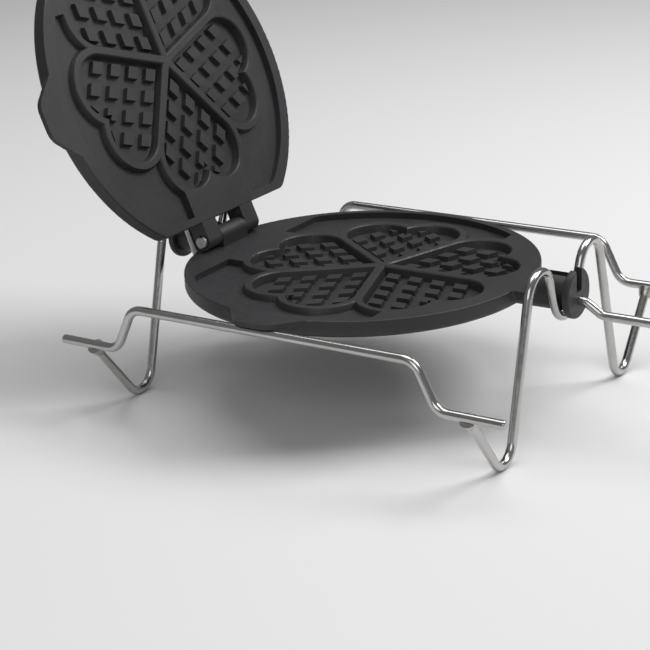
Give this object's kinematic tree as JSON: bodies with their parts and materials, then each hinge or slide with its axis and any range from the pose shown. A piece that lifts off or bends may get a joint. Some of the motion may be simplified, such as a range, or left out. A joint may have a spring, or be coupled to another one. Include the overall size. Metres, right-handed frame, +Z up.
{
  "type": "rotating waffle iron",
  "caption": "Rotating cast iron waffle iron with heart pockets, wire handles and a bright wire rack that carries it over a fire; lid swung open.",
  "frame": {"origin": "on the ground, midway between the four feet and under the turn axis", "axes": "+X along the turn axis towards the handles, +Z up, the lugs rest on the -Y side wire"},
  "size_m": [0.6414, 0.2219, 0.4984],
  "materials": {
    "seasoned_iron": "seasoned, satin black, fine sand-cast grain",
    "bright_wire": "polished stainless wire",
    "pin_steel": "turned steel",
    "weld_steel": "cleaned weld"
  },
  "bodies": {
    "rack": {"front_side_wire": "bright_wire", "back_side_wire": "bright_wire", "hinge_cradle_wire": "bright_wire", "handle_cradle_wire": "bright_wire", "front_hinge_weld": "weld_steel", "back_hinge_weld": "weld_steel", "front_handle_weld": "weld_steel", "back_handle_weld": "weld_steel"},
    "iron": {"lower_plate": "seasoned_iron", "lower_handle": "bright_wire", "lower_handle_dowel": "pin_steel"},
    "lid": {"upper_plate": "seasoned_iron", "upper_handle": "bright_wire", "upper_handle_dowel": "pin_steel", "hinge_pin": "pin_steel"}
  },
  "joints": [
    {"name": "iron_turn", "type": "hinge", "parent": "rack", "child": "iron", "pos_m": [0, 0, 0.072], "axis": [1, 0, 0], "range_deg": [-16, 0]},
    {"name": "lid_close", "type": "hinge", "parent": "iron", "child": "lid", "pos_m": [-0.0998, 0, 0.0775], "axis": [0, 1, 0], "range_deg": [0, 112.7]}
  ]
}
